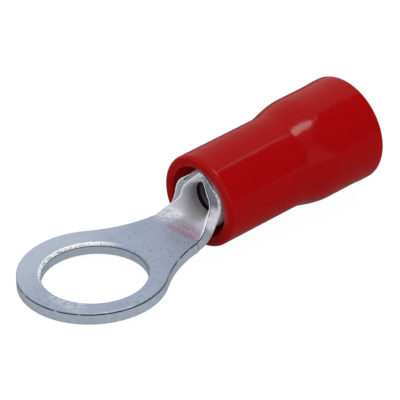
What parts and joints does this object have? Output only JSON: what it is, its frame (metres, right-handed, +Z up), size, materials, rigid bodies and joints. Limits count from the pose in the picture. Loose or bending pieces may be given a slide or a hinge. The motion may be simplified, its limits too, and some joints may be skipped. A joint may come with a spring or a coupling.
{
  "type": "ring terminal",
  "caption": "Insulated ring terminal: a flat stud ring whose sheet rolls up into a butt-seamed wire barrel, gripped by a red plastic sleeve that flares into a funnel for the wire.",
  "frame": {"origin": "centre of the stud hole on the flat underside of the ring", "axes": "+X along the terminal towards the wire entry, +Z up along the stud, away from the face the ring is clamped to"},
  "size_m": [0.0212, 0.0075, 0.0056],
  "materials": {
    "terminal": "satin tin plating, slightly mottled, over copper",
    "sleeve": "semi-gloss moulded red PVC"
  },
  "bodies": {
    "root": {"terminal": "terminal", "sleeve": "sleeve"}
  },
  "joints": []
}
